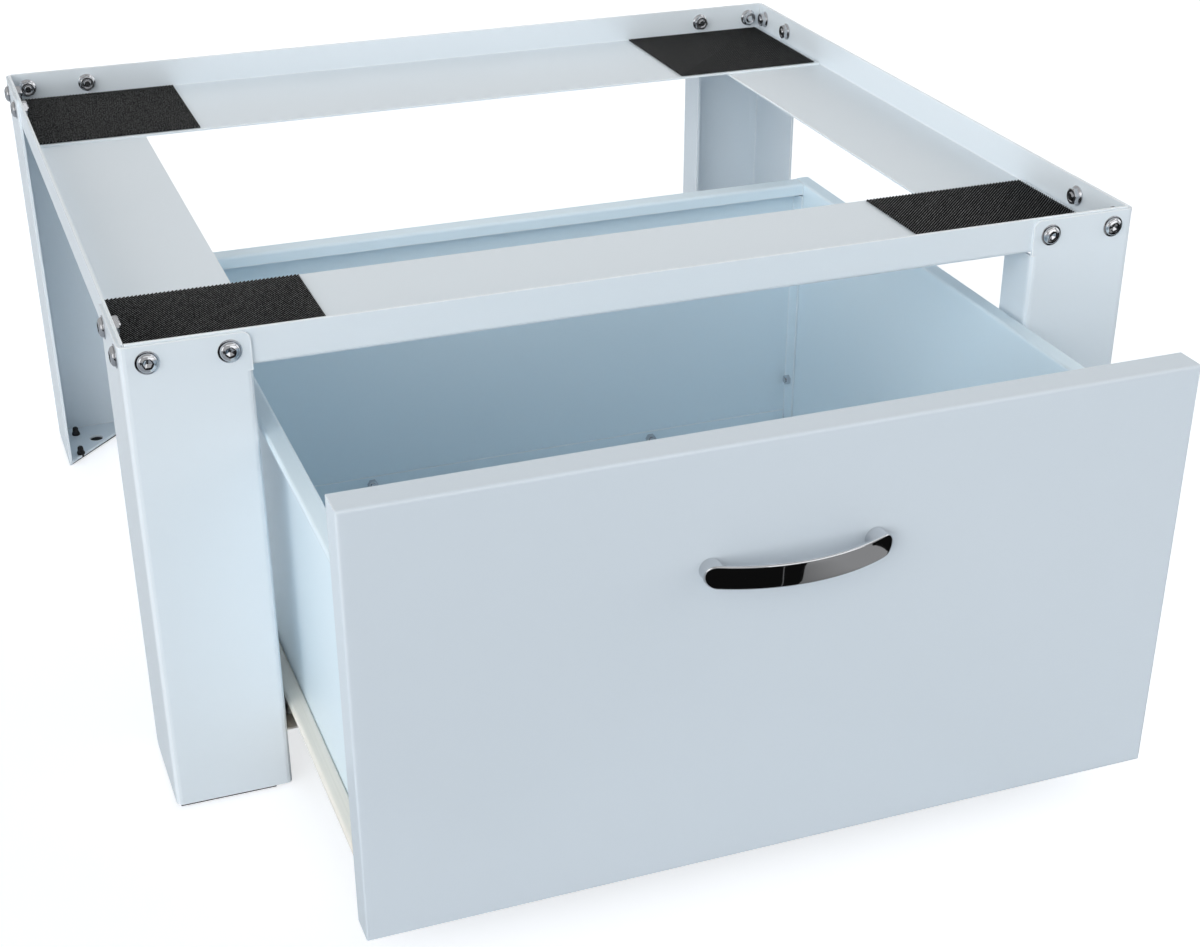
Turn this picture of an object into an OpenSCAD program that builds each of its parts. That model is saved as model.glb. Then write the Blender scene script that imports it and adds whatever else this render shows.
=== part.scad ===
// Washing machine stand with a drawer: bent sheet steel legs and rails, rubber pads,
// and a steel drawer that runs on side mounted roller runners.
// Units are millimetres. +X is to the right, +Y to the back, +Z up.
// The floor is z = 0, and the origin is the middle of the open stand's footprint.

/* [Stand] */
// Width over the legs
stand_w = 630; // [580:5:760]
// Depth over the legs
stand_d = 560; // [535:5:680]
// Height from the floor to the rim of the rails
stand_h = 302; // [300:1:380]

/* [Rails] */
// Thickness of the rail sheet
rail_t = 1.5; // [1.2:0.1:2.5]
// Height of a rail from its shelf to the rim
rail_h = 22; // [20:0.5:32]
// Depth of the front and rear shelf, from the outside of the stand
cross_shelf = 123; // [122:1:140]
// Width of the left and right shelf, from the outside of the stand
side_shelf = 84; // [76:1:110]

/* [Legs] */
// Thickness of the leg sheet
leg_t = 2; // [1.5:0.1:3]
// Width of the front or rear face of a leg
leg_w = 71; // [64:1:85]
// Depth of the side face of a leg
leg_d = 72; // [68:1:90]
// Depth of the flange along the inner edge of the front or rear face
return_d = 31; // [30:1:36]
// Inner radius of the bends of a leg
leg_bend = 1.5; // [1:0.25:3]
// How far the top of a leg stays below the rim
leg_drop = 1; // [0.5:0.5:3]
// Corner radius of the leg faces
leg_corner = 5; // [2:1:8]

/* [Feet] */
// Thickness of the rubber under a leg
foot_t = 2.5; // [2:0.5:6]
// Diameter of the hole in the foot plate
foot_hole_d = 11; // [6:0.5:12]
// Diameter of the neck of a push-in nub
nub_d = 4.4; // [3:0.2:5]
// Height of a nub above the foot plate
nub_h = 6.5; // [4:0.5:9]

/* [Top pads] */
// Width of a top pad
pad_w = 116; // [90:1:130]
// Depth of a top pad
pad_d = 116; // [80:1:117]
// Thickness of a top pad
pad_t = 1.5; // [1:0.1:1.6]
// Corner radius of a top pad
pad_r = 2; // [1:0.5:12]

/* [Fasteners] */
// Diameter of the frame screws
screw_d = 6; // [5:0.5:6]
// Collar diameter of a frame screw
collar_d = 13.6; // [12:0.1:14]
// Width across the flats of a frame nut
nut_af = 10; // [8:0.5:10]
// Flange diameter of a frame nut
nut_flange_d = 13; // [11.6:0.1:13.6]
// Diameter of the small screws
small_d = 4; // [3:0.5:4]
// Clearance around a screw in its hole
hole_clear = 0.3; // [0.2:0.1:0.5]

/* [Drawer] */
// How far the drawer stands open
drawer_out = 179; // [120:1:300]
// Length of the drawer box behind its front
box_l = 463; // [458:1:470]
// Height of the drawer box
box_h = 212; // [150:1:216]
// Height of the drawer box above the floor
box_z = 24; // [24:1:30]
// Thickness of the drawer sheet
box_t = 1.2; // [0.8:0.1:1.2]
// Thickness of the drawer front
front_t = 20; // [16:1:20]
// Gap under the drawer front
front_lift = 16.5; // [8:0.5:20]
// Gap around the drawer front
front_gap = 1; // [0.8:0.1:1.5]
// Depth of the folded rim of the drawer back
hem_d = 14; // [10:1:18]

/* [Runners] */
// Length of a runner
runner_l = 450; // [440:5:455]
// Thickness of the runner sheet
runner_t = 1.2; // [1:0.1:1.2]
// Space between the support bar and the drawer side
runner_space = 12.5; // [12.5:0.1:13]
// Height of the fixed runner
runner_h = 24; // [20:0.5:28]
// Thickness of the support bar
bar_t = 1.5; // [1:0.1:2]
// Height of the support bar
bar_h = 40; // [36:1:60]

/* [Handle] */
// Distance between the handle screws
handle_pitch = 96; // [64:1:160]
// Width of the handle's face
handle_h = 14; // [10:0.5:18]
// How far the handle stands off the drawer front
handle_reach = 22; // [20:0.5:32]
// Diameter of the handle's feet
post_d = 13; // [8:0.5:13]
// Distance of the handle below the top of the drawer front
handle_drop = 69.5; // [50:0.5:100]

/* [Hidden] */
$fn = 48;
tiny = 0.01;
half_w = stand_w / 2;
half_d = stand_d / 2;

// Paint, rubber and metal colours
paint = [0.86, 0.89, 0.91];
rubber = [0.10, 0.10, 0.10];
zinc = [0.75, 0.76, 0.77];
cream = [0.88, 0.86, 0.80];
nylon = [0.62, 0.63, 0.62];

// Frame screws: where they sit and how high
screw_z = stand_h - rail_h / 2;
screw_x = [14.5, leg_w - 12];
screw_y = [15, leg_d - 14];
screw_grip = leg_t + rail_t;
head_h = 3.3;
collar_h = 1.1;
dome_d = 10.5;
socket_af = 4;
socket_h = 2;
nut_h = 4.8;
nut_flange_h = 1.2;
screw_end = 0.8;

// Legs and rails
rail_x = half_w - leg_t;
rail_y = half_d - leg_t;
joint_gap = 0.2;
cross_half = rail_x - leg_bend - joint_gap;
return_top = stand_h - rail_h - rail_t - 0.5;
shelf_notch = 4;
leg_top = stand_h - leg_drop;
opening_x = half_w - leg_w;
foot_plate_z = foot_t + leg_t;
nub_places = [[12, 16], [11, leg_d - 18], [leg_w - 19, 12]];
foot_hole_place = [27, 28];
foot_inset = 2.5;

// Top pads
pad_x = 8;
pad_y = leg_t + rail_t + nut_flange_h + 0.1;
shelf_z = stand_h - rail_h + rail_t;

// Runner: distances from the wall that carries it
wall_x = opening_x - bar_t;
roller_d = runner_h - 3;
roller_w = 6.6;
roller_gap = 0.25;
axle_d = 4;
axle_clear = 0.05;
axle_head_d = 7.6;
axle_head_h = 1.4;
side_x = wall_x - runner_space;
box_x = side_x - box_t;
web_x = side_x + runner_t;
roller_x = web_x + 1;
runner_z = box_z + 3;
runner_front = -half_d + front_t + 1;
front_roller_y = runner_front + roller_d / 2 + 0.3;
front_roller_cut = roller_d + 4;
ride_z = runner_z + runner_h + 4.4;
front_roller_z = ride_z - runner_t - roller_gap - roller_d / 2;
rear_roller_z = runner_z + runner_t + roller_gap + roller_d / 2;
fixed_screw_y = [60, 210, 380];

// Support bar
bar_z = runner_z;
bar_outer_x = opening_x + leg_t + bar_t / 2;
bar_inner_x = opening_x - bar_t / 2;
bar_end_y = half_d - leg_t - 3;
bar_step_y = half_d - return_d - 3;
bar_hole_y = half_d - 15;
bar_hole_z = [bar_z + 10, bar_z + bar_h - 10];
bar_flange = 10;

// Drawer
front_y = -half_d - drawer_out;
lining_y = front_y + front_t;
back_y = lining_y + box_l;
box_top = box_z + box_h;
front_w = 2 * (opening_x - front_gap);
front_top = stand_h - rail_h - 0.5 - front_gap;
front_h = front_top - front_lift;
front_sheet = 1.2;
side_flange = 10.2;
side_lip = 3.6;
box_bend = 0.8;
floor_x = box_x - 2.4;
floor_flange = 20;
lining_flange = 8;
front_flange_w = 11.4;
front_flange_z = [ride_z + 3, box_top - 2];
front_screw_z = [box_z + 66, box_top - 35];
back_screw_z = [box_z + 50, box_top - 45];
back_screw_y = back_y - hem_d / 2 - 0.5;
floor_screw_x = 112;
floor_screw_z = box_z + 16;
runner_screw_y = [40, 225, 400];
runner_screw_x = box_x - 7;
drawer_runner_y = lining_y + box_t + 0.4;
rear_roller_y = drawer_runner_y + runner_l - 6;
small_nut_af = 7;
small_nut_h = 3.2;
small_head_d = 7.5;
small_head_h = 2;

// Handle
handle_z = front_top - handle_drop;
handle_half = handle_pitch / 2 + 7;
handle_t = 2.6;
handle_rise = 14;
handle_r = (handle_half * handle_half + handle_rise * handle_rise) / (2 * handle_rise);
handle_screw_l = 7;

// Everything is drawn about the stand's middle and then moved, so that the middle of
// the open stand's footprint lies at the origin
shift_y = -(front_y - handle_reach + half_d + head_h) / 2;

// Direction helpers for a bent sheet
function unit(v) = v / norm(v);
function left_of(v) = [-v[1], v[0]];
function turned(v, a) = [v[0] * cos(a) - v[1] * sin(a), v[0] * sin(a) + v[1] * cos(a)];
function turn_of(u, v) = atan2(u[0] * v[1] - u[1] * v[0], u[0] * v[0] + u[1] * v[1]);

// Points of one bend: the sheet's middle line turns by angle a at the corner p,
// with its side face at distance s to the left
function bend_points(p, u, a, r, s, n = 3) =
    let (
        start = p - u * r * tan(abs(a) / 2),
        middle = start + left_of(u) * r * sign(a)
    )
    [for (i = [0 : n]) let (d = turned(u, a * i / n)) middle + left_of(d) * (s - r * sign(a))];

// One side of a sheet whose middle line follows the path
function sheet_side(path, r, s) = concat(
    [path[0] + left_of(unit(path[1] - path[0])) * s],
    [for (i = [1 : 1 : len(path) - 2])
        let (u = unit(path[i] - path[i - 1]), v = unit(path[i + 1] - path[i]))
        each bend_points(path[i], u, turn_of(u, v), r, s)],
    [path[len(path) - 1] + left_of(unit(path[len(path) - 1] - path[len(path) - 2])) * s]
);
function reversed(list) = [for (i = [len(list) - 1 : -1 : 0]) list[i]];

// Outline of a bent sheet of thickness t and inner bend radius r
module sheet(path, t, r) {
    polygon(concat(sheet_side(path, r + t / 2, t / 2), reversed(sheet_side(path, r + t / 2, -t / 2))));
}

// Extrusions of an outline along X (outline in Y and Z) and along Y (outline in X and Z)
module along_x(from, to) {
    translate([from, 0, 0]) rotate([90, 0, 90]) linear_extrude(to - from) children();
}
module along_y(from, to) {
    translate([0, to, 0]) rotate([90, 0, 0]) linear_extrude(to - from) children();
}
module along_z(from, to) {
    translate([0, 0, from]) linear_extrude(to - from) children();
}

// Cylinders along the three axes, centred on a point
module rod_x(d, from, to, y, z) {
    translate([from, y, z]) rotate([0, 90, 0]) cylinder(d = d, h = to - from);
}
module rod_y(d, from, to, x, z) {
    translate([x, to, z]) rotate([90, 0, 0]) cylinder(d = d, h = to - from);
}
module rod_z(d, from, to, x, y) {
    translate([x, y, from]) cylinder(d = d, h = to - from);
}

// Placing: the whole object, its right half and its rear half
module placed() {
    translate([0, shift_y, 0]) children();
}
module other_side(flip) {
    if (flip) mirror([1, 0, 0]) children();
    else children();
}
module other_end(flip) {
    if (flip) mirror([0, 1, 0]) children();
    else children();
}
module both_sides() {
    children();
    mirror([1, 0, 0]) children();
}
module four_corners() {
    for (rear = [false, true]) other_end(rear) both_sides() children();
}

// Front rail: an angle section with the shelf at the bottom, notched for the side rails
module cross_rail() {
    difference() {
        along_x(-cross_half, cross_half)
            sheet([
                [-rail_y + rail_t / 2, stand_h],
                [-rail_y + rail_t / 2, stand_h - rail_h + rail_t / 2],
                [-half_d + cross_shelf, stand_h - rail_h + rail_t / 2]
            ], rail_t, rail_t / 2);
        both_sides()
            translate([rail_x - 1.5 * rail_t - joint_gap, -rail_y + rail_t, stand_h - rail_h - 1])
                cube([2 * rail_t + 1, cross_shelf, rail_h + 2]);
        both_sides() for (x = screw_x)
            rod_y(screw_d + 2 * hole_clear, -rail_y - 1, -rail_y + rail_t + 1, half_w - x, screw_z);
    }
}

// Left rail: an angle section that lies under the shelves of the front and rear rails.
// Its shelf is notched at the ends, so that it doesn't show beside the legs.
module side_rail() {
    length = rail_y - rail_t - joint_gap;
    difference() {
        along_y(-length, length)
            sheet([
                [-rail_x + rail_t / 2, stand_h],
                [-rail_x + rail_t / 2, stand_h - rail_h - rail_t / 2],
                [-half_w + side_shelf, stand_h - rail_h - rail_t / 2]
            ], rail_t, rail_t / 2);
        for (y = screw_y, end = [-1, 1])
            rod_x(screw_d + 2 * hole_clear, -rail_x - 1, -rail_x + rail_t + 1, end * (half_d - y), screw_z);
        for (rear = [false, true]) other_end(rear)
            translate([-opening_x - shelf_notch, -half_d, stand_h - rail_h - rail_t - 1])
                cube([max(1, side_shelf - leg_w + shelf_notch + 1), return_d + shelf_notch, rail_t + 2]);
    }
}

// Square corner less its round, cut away to round the corner of a sheet
module corner_cut(r) {
    difference() {
        translate([-r, -r]) square(r + 1);
        translate([-r, -r]) circle(r);
    }
}

// Front left leg: front face, side face, return flange and foot plate of one sheet
module leg() {
    side_line = -half_w + leg_t / 2;
    front_line = -half_d + leg_t / 2;
    inner_line = -opening_x - leg_t / 2;
    difference() {
        union() {
            along_z(foot_t, return_top) sheet([
                [side_line, -half_d + leg_d],
                [side_line, front_line],
                [inner_line, front_line],
                [inner_line, -half_d + return_d]
            ], leg_t, leg_bend);
            along_z(return_top - tiny, leg_top) sheet([
                [side_line, -half_d + leg_d],
                [side_line, front_line],
                [-opening_x, front_line]
            ], leg_t, leg_bend);
            along_z(foot_t, foot_plate_z) polygon([
                [side_line, front_line],
                [side_line, -half_d + leg_d - leg_corner],
                [inner_line - leg_corner, front_line]
            ]);
        }
        along_y(-half_d - 1, -half_d + leg_t + 1)
            translate([-opening_x, leg_top]) corner_cut(leg_corner);
        along_x(-half_w - 1, -half_w + leg_t + 0.5) {
            translate([-half_d + leg_d, leg_top]) corner_cut(leg_corner);
            translate([-half_d + leg_d, foot_t]) mirror([0, 1]) corner_cut(leg_corner);
        }
        along_x(-opening_x - leg_t - leg_bend, -opening_x + 1) {
            translate([-half_d + return_d, return_top]) corner_cut(leg_corner);
            translate([-half_d + return_d, foot_t]) mirror([0, 1]) corner_cut(leg_corner);
        }
        for (x = screw_x)
            rod_y(screw_d + 2 * hole_clear, -half_d - 1, -half_d + leg_t + 1, -half_w + x, screw_z);
        for (y = screw_y)
            rod_x(screw_d + 2 * hole_clear, -half_w - 1, -half_w + leg_t + 1, -half_d + y, screw_z);
        for (z = bar_hole_z)
            countersunk_hole(-opening_x, -bar_hole_y, z);
        foot_hole();
        for (p = nub_places)
            rod_z(nub_d + 0.2, foot_t - 1, foot_plate_z + 1, -half_w + p[0], -half_d + p[1]);
    }
}

module foot_hole() {
    rod_z(foot_hole_d, foot_t - 1, foot_plate_z + 1,
        -half_w + foot_hole_place[0], -half_d + foot_hole_place[1]);
}

// Hole for a countersunk screw, open towards +X
module countersunk_hole(x, y, z) {
    rod_x(small_d + 2 * hole_clear, x - leg_t - 1, x + 1, y, z);
    translate([x - leg_t * 0.8, y, z]) rotate([0, 90, 0])
        cylinder(d1 = small_d + 2 * hole_clear, d2 = small_d * 2 + 2 * hole_clear, h = leg_t * 0.8 + tiny);
}

// Rubber under a leg: a three cornered pad with three push-in nubs
module foot_pad() {
    low = -half_w + foot_inset;
    near = -half_d + foot_inset;
    along_z(0, foot_t) polygon([
        [low, near],
        [low, -half_d + leg_d - 2 * foot_inset - leg_corner],
        [-opening_x - 2 * foot_inset - leg_corner, near]
    ]);
    for (p = nub_places) translate([-half_w + p[0], -half_d + p[1], foot_t - tiny]) nub();
}

// Nub: a neck through the plate, then a bell shaped head above it
module nub() {
    neck = leg_t + 0.1 + tiny;
    rotate_extrude() polygon([
        [0, 0], [nub_d / 2, 0], [nub_d / 2, neck], [nub_d * 0.72, neck],
        [nub_d * 0.72, neck + nub_h * 0.22], [nub_d * 0.56, neck + nub_h * 0.45],
        [nub_d * 0.5, neck + nub_h * 0.88], [nub_d * 0.36, neck + nub_h], [0, neck + nub_h]
    ]);
}

// Top pad: a flat rubber mat with round corners on the shelf
module top_pad() {
    translate([-half_w + pad_x, -half_d + pad_y, shelf_z])
        linear_extrude(pad_t) rounded_rectangle(pad_w, pad_d, pad_r);
}
module rounded_rectangle(w, d, r) {
    translate([r, 0]) square([w - 2 * r, d]);
    translate([0, r]) square([w, d - 2 * r]);
    for (x = [r, w - r], y = [r, d - r]) translate([x, y]) circle(r);
}

// Button head screw with a collar, head outwards at z = 0 and shank along -Z
module collar_screw(length) {
    steps = 5;
    difference() {
        rotate_extrude() polygon(concat(
            [[0, -length], [screw_d / 2 - 0.5, -length], [screw_d / 2, -length + 0.5], [screw_d / 2, 0],
             [collar_d / 2, 0], [collar_d / 2, collar_h * 0.7], [dome_d / 2, collar_h]],
            [for (i = [1 : steps]) let (a = 70 * i / steps)
                [dome_d / 2 * cos(a), collar_h + (head_h - collar_h) * sin(a) / sin(70)]],
            [[0, head_h]]
        ));
        translate([0, 0, head_h - socket_h]) cylinder(d = socket_af / cos(30), h = socket_h + 1, $fn = 6);
    }
}

// Hexagon nut with a flange at z = 0, standing along +Z
module flange_nut() {
    difference() {
        union() {
            cylinder(d = nut_flange_d, h = nut_flange_h);
            cylinder(d = nut_af / cos(30), h = nut_h, $fn = 6);
        }
        translate([0, 0, -1]) cylinder(d = screw_d + 0.1, h = nut_h + 2);
    }
}

// The 16 places of the frame screws, with +Z of each place pointing out of the stand
module at_frame_screws() {
    four_corners() {
        for (x = screw_x) translate([-half_w + x, -half_d, screw_z]) rotate([90, 0, 0]) children();
        for (y = screw_y) translate([-half_w, -half_d + y, screw_z]) rotate([0, -90, 0]) children();
    }
}

// Support bar: carried by the return flanges of two legs, with stiffening edges between them
module support_bar() {
    difference() {
        union() {
            along_z(bar_z, bar_z + bar_h) sheet([
                [-bar_outer_x, -bar_end_y],
                [-bar_outer_x, -bar_step_y],
                [-bar_inner_x, -bar_step_y + 6],
                [-bar_inner_x, bar_step_y - 6],
                [-bar_outer_x, bar_step_y],
                [-bar_outer_x, bar_end_y]
            ], bar_t, 1);
            for (z = [bar_z, bar_z + bar_h - bar_t])
                translate([-opening_x - bar_flange, -bar_step_y + 12, z])
                    cube([bar_flange + bar_t / 2, 2 * bar_step_y - 24, bar_t]);
        }
        for (y = [-bar_hole_y, bar_hole_y], z = bar_hole_z)
            rod_x(small_d + 2 * hole_clear, -bar_outer_x - bar_t, -bar_outer_x + bar_t, y, z);
        for (y = fixed_screw_y)
            rod_x(small_d + 2 * hole_clear, -opening_x - 1, -wall_x + 1, runner_front + y, rear_roller_z);
    }
}

// Countersunk screw: flat face at z = 0, shank along -Z
module countersunk_screw(length) {
    rotate_extrude() polygon([
        [0, -length], [small_d / 2, -length], [small_d / 2, -leg_t * 0.8],
        [small_d, -0.05], [0, -0.05]
    ]);
}
module small_nut() {
    difference() {
        cylinder(d = small_nut_af / cos(30), h = small_nut_h, $fn = 6);
        translate([0, 0, -1]) cylinder(d = small_d + 0.1, h = small_nut_h + 2);
    }
}

// Pan head screw: head on z = 0 and above, shank along -Z
module pan_screw(length, head = small_head_h) {
    difference() {
        rotate_extrude() polygon([
            [0, -length], [small_d / 2, -length], [small_d / 2, 0],
            [small_head_d / 2, 0], [small_head_d / 2, head * 0.4],
            [small_head_d * 0.36, head * 0.85], [small_head_d * 0.2, head], [0, head]
        ]);
        for (a = [0, 90]) rotate([0, 0, a])
            translate([-small_head_d * 0.25, -0.4, head * 0.4]) cube([small_head_d * 0.5, 0.8, head]);
    }
}

// The 8 places of the bar screws, with +Z of each place pointing to the middle of the stand
module at_bar_screws(x) {
    four_corners() for (z = bar_hole_z)
        translate([-x, -bar_hole_y, z]) rotate([0, 90, 0]) children();
}

// Fixed runner: a channel open towards the drawer, cut away above its front roller
module fixed_runner() {
    top = runner_z + runner_h;
    edge_x = roller_x + 0.1;
    difference() {
        along_y(runner_front, runner_front + runner_l) sheet([
            [-edge_x, top - runner_t / 2],
            [-wall_x + runner_t / 2, top - runner_t / 2],
            [-wall_x + runner_t / 2, runner_z + runner_t / 2],
            [-edge_x, runner_z + runner_t / 2]
        ], runner_t, 1);
        translate([-wall_x + runner_t, runner_front - 1, top - 3 * runner_t])
            cube([runner_space, front_roller_cut + 1, 4 * runner_t]);
        for (y = fixed_screw_y)
            rod_x(small_d + 2 * hole_clear, -wall_x - 1, -wall_x + runner_t + 1, runner_front + y, rear_roller_z);
        rod_x(axle_d, -wall_x - 1, -wall_x + runner_t + 1, front_roller_y, front_roller_z);
    }
}

// Roller: a nylon wheel with a bore and a recess for the axle's head, from x = 0 to roller_w
module roller() {
    rotate([0, 90, 0]) rotate_extrude() polygon([
        [axle_d / 2 + axle_clear, 0], [roller_d / 2 - 1, 0], [roller_d / 2, 0.8],
        [roller_d / 2, roller_w - 0.8], [roller_d / 2 - 1, roller_w],
        [axle_head_d / 2 + 1.2, roller_w], [axle_head_d / 2 + 0.6, roller_w - axle_head_h - 0.4],
        [axle_d / 2 + axle_clear, roller_w - axle_head_h - 0.4]
    ]);
}

// Axle of a roller: pin through the sheet from x = -sheet, shoulder up to x = gap, then the head
module axle(sheet_t, gap) {
    reach = gap + roller_w - axle_head_h - 0.2;
    rotate([0, 90, 0]) {
        translate([0, 0, -sheet_t]) cylinder(d = axle_d, h = sheet_t + reach + tiny);
        cylinder(d = axle_head_d, h = gap - 0.1);
        translate([0, 0, reach]) cylinder(d1 = axle_head_d, d2 = axle_head_d - 1.6, h = axle_head_h);
    }
}

// Drawer front: a tray open to the back, with bent edges
module front_shell(w, h, t, depth, r, y, z) {
    difference() {
        front_block(w, h, depth, r, y, z);
        translate([-w / 2 + t, y + t, z + t]) cube([w - 2 * t, depth, h - 2 * t]);
    }
}
module front_block(w, h, depth, r, y, z) {
    intersection() {
        along_z(z, z + h) translate([-w / 2, y]) front_edge(w, depth, r);
        along_x(-w / 2, w / 2) translate([y, z]) mirror([1, -1]) front_edge(h, depth, r);
    }
}
// Rectangle whose two corners on the x axis are round
module front_edge(w, depth, r) {
    translate([0, r]) square([w, depth - r]);
    translate([r, 0]) square([w - 2 * r, depth]);
    for (x = [r, w - r]) translate([x, r]) circle(r);
}

module drawer_front_shape() {
    difference() {
        front_shell(front_w, front_h, front_sheet, front_t, 2, front_y, front_lift);
        for (x = [-1, 1])
            rod_y(small_d + 2 * hole_clear, front_y - 1, front_y + 3, x * handle_pitch / 2, handle_z);
    }
}

// Lining: a shallow tray that closes the back of the drawer front
module lining_shape() {
    gap = front_sheet + 0.1;
    w = front_w - 2 * gap;
    h = front_h - 2 * gap;
    difference() {
        translate([0, 2 * lining_y - box_t, 0]) mirror([0, 1, 0])
            front_shell(w, h, box_t, lining_flange, 1.5, lining_y - box_t, front_lift + gap);
        for (x = [-1, 1])
            rod_y(12, lining_y - lining_flange, lining_y + 3, x * handle_pitch / 2, handle_z);
        at_front_screws() cylinder(d = small_d + 2 * hole_clear, h = 8, center = true);
        for (x = [-1, 1])
            rod_y(small_d + 2 * hole_clear, lining_y - 3, lining_y + 3, x * floor_screw_x, floor_screw_z);
    }
}

// Screws between a side's front flange and the lining, with +Z pointing to the back
module at_front_screws() {
    both_sides() for (z = front_screw_z)
        translate([-side_x - front_flange_w / 2, lining_y, z]) rotate([-90, 0, 0]) children();
}

// Left side of the drawer: a folded rim on top, a ledge for the floor and a flange to the front
module side_shape() {
    line = -side_x + box_t / 2;
    difference() {
        union() {
            along_y(lining_y, back_y) sheet([
                [line + 15, box_z + box_t / 2],
                [line, box_z + box_t / 2],
                [line, box_top - box_t / 2],
                [-side_x - side_flange + box_t / 2, box_top - box_t / 2],
                [-side_x - side_flange + box_t / 2, box_top - side_lip]
            ], box_t, box_bend);
            along_z(front_flange_z[0], front_flange_z[1]) sheet([
                [line, lining_y + 20],
                [line, lining_y + box_t / 2],
                [-side_x - front_flange_w, lining_y + box_t / 2]
            ], box_t, box_bend);
        }
        at_front_screws() cylinder(d = small_d + 2 * hole_clear, h = 8, center = true);
        for (z = back_screw_z)
            rod_x(small_d + 2 * hole_clear, -side_x - 1, -box_x + 1, back_screw_y, z);
        for (y = runner_screw_y)
            rod_z(small_d + 2 * hole_clear, box_z - 1, box_z + 3, -runner_screw_x, drawer_runner_y + y);
    }
}

// Back of the drawer: a folded rim on top and flanges along the sides
module back_shape() {
    x_end = box_x - 0.2;
    difference() {
        union() {
            along_x(-x_end, x_end) sheet([
                [back_y - box_t / 2, box_z + 2 * box_t + 0.2],
                [back_y - box_t / 2, box_top - box_t / 2],
                [back_y - hem_d + box_t / 2, box_top - box_t / 2],
                [back_y - hem_d + box_t / 2, box_top - 8.5]
            ], box_t, box_bend);
            along_z(box_z + 6, box_top - 10) sheet([
                [-x_end + box_t / 2, back_y - hem_d - 1],
                [-x_end + box_t / 2, back_y - box_t / 2],
                [x_end - box_t / 2, back_y - box_t / 2],
                [x_end - box_t / 2, back_y - hem_d - 1]
            ], box_t, box_bend);
        }
        both_sides() for (z = back_screw_z)
            rod_x(small_d + 2 * hole_clear, -box_x - 1, -box_x + 3, back_screw_y, z);
        for (x = [-1, 1])
            rod_y(small_d + 2 * hole_clear, back_y - 3, back_y + 1, x * floor_screw_x, floor_screw_z);
    }
}

// Floor of the drawer: turned up at the front and the rear
module floor_shape() {
    low = box_z + box_t + box_t / 2;
    front_line = lining_y + box_t / 2;
    rear_line = back_y - box_t - box_t / 2;
    difference() {
        along_x(-floor_x, floor_x) sheet([
            [front_line, low + floor_flange],
            [front_line, low],
            [rear_line, low],
            [rear_line, low + floor_flange]
        ], box_t, box_bend);
        for (x = [-1, 1], y = [front_line, rear_line])
            rod_y(small_d + 2 * hole_clear, y - 2, y + 2, x * floor_screw_x, floor_screw_z);
        both_sides() for (y = runner_screw_y)
            rod_z(small_d + 2 * hole_clear, low - 2, low + 2, -runner_screw_x, drawer_runner_y + y);
    }
}

// Left drawer runner: ledge under the side, web against it, and a flange that rides on the roller
module drawer_runner() {
    flange_x = roller_x + roller_w + 1.2;
    difference() {
        along_y(drawer_runner_y, drawer_runner_y + runner_l) sheet([
            [-side_x + 14, box_z - runner_t / 2],
            [-side_x - runner_t / 2, box_z - runner_t / 2],
            [-side_x - runner_t / 2, ride_z - runner_t / 2],
            [-flange_x, ride_z - runner_t / 2],
            [-flange_x, runner_z + runner_h + 0.6]
        ], runner_t, box_bend);
        for (y = runner_screw_y)
            rod_z(small_d + 2 * hole_clear, box_z - 3, box_z + 1, -runner_screw_x, drawer_runner_y + y);
        rod_x(axle_d, -web_x - 1, -side_x + 1, rear_roller_y, rear_roller_z);
    }
}

// Handle: a bowed band with round ends on two round feet, in one casting
module handle_shape() {
    centre_y = front_y - handle_reach + handle_r;
    intersection() {
        difference() {
            translate([0, centre_y, handle_z - handle_h / 2]) cylinder(r = handle_r, h = handle_h, $fn = 96);
            translate([0, centre_y, handle_z - handle_h]) cylinder(r = handle_r - handle_t, h = 2 * handle_h);
        }
        along_y(front_y - handle_reach - 1, front_y - 1) translate([0, handle_z]) band_face();
    }
    difference() {
        intersection() {
            both_sides() rod_y(post_d, front_y - handle_reach, front_y, -handle_pitch / 2, handle_z);
            translate([0, centre_y, handle_z - post_d])
                cylinder(r = handle_r - 0.8 * handle_t, h = 2 * post_d, $fn = 96);
        }
        both_sides()
            rod_y(small_d + 0.2, front_y - handle_screw_l + 0.8, front_y + 1, -handle_pitch / 2, handle_z);
    }
}
module band_face() {
    square([2 * handle_half - handle_h, handle_h], center = true);
    for (x = [-1, 1]) translate([x * (handle_half - handle_h / 2), 0]) circle(d = handle_h);
}

// One module per sub-part
module front_rail() { color(paint) placed() cross_rail(); }
module rear_rail() { color(paint) placed() other_end(true) cross_rail(); }
module left_rail() { color(paint) placed() side_rail(); }
module right_rail() { color(paint) placed() other_side(true) side_rail(); }
module leg_front_left() { color(paint) placed() leg(); }
module leg_front_right() { color(paint) placed() other_side(true) leg(); }
module leg_rear_left() { color(paint) placed() other_end(true) leg(); }
module leg_rear_right() { color(paint) placed() other_end(true) other_side(true) leg(); }
module foot_pad_front_left() { color(rubber) placed() foot_pad(); }
module foot_pad_front_right() { color(rubber) placed() other_side(true) foot_pad(); }
module foot_pad_rear_left() { color(rubber) placed() other_end(true) foot_pad(); }
module foot_pad_rear_right() { color(rubber) placed() other_end(true) other_side(true) foot_pad(); }
module top_pad_front_left() { color(rubber) placed() top_pad(); }
module top_pad_front_right() { color(rubber) placed() other_side(true) top_pad(); }
module top_pad_rear_left() { color(rubber) placed() other_end(true) top_pad(); }
module top_pad_rear_right() { color(rubber) placed() other_end(true) other_side(true) top_pad(); }
module leg_screws() {
    color(zinc) placed() at_frame_screws() collar_screw(screw_grip + nut_h + screw_end);
}
module leg_nuts() {
    color(zinc) placed() at_frame_screws()
        translate([0, 0, -screw_grip]) rotate([180, 0, 0]) flange_nut();
}
module left_support_bar() { color(paint) placed() support_bar(); }
module right_support_bar() { color(paint) placed() other_side(true) support_bar(); }
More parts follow.
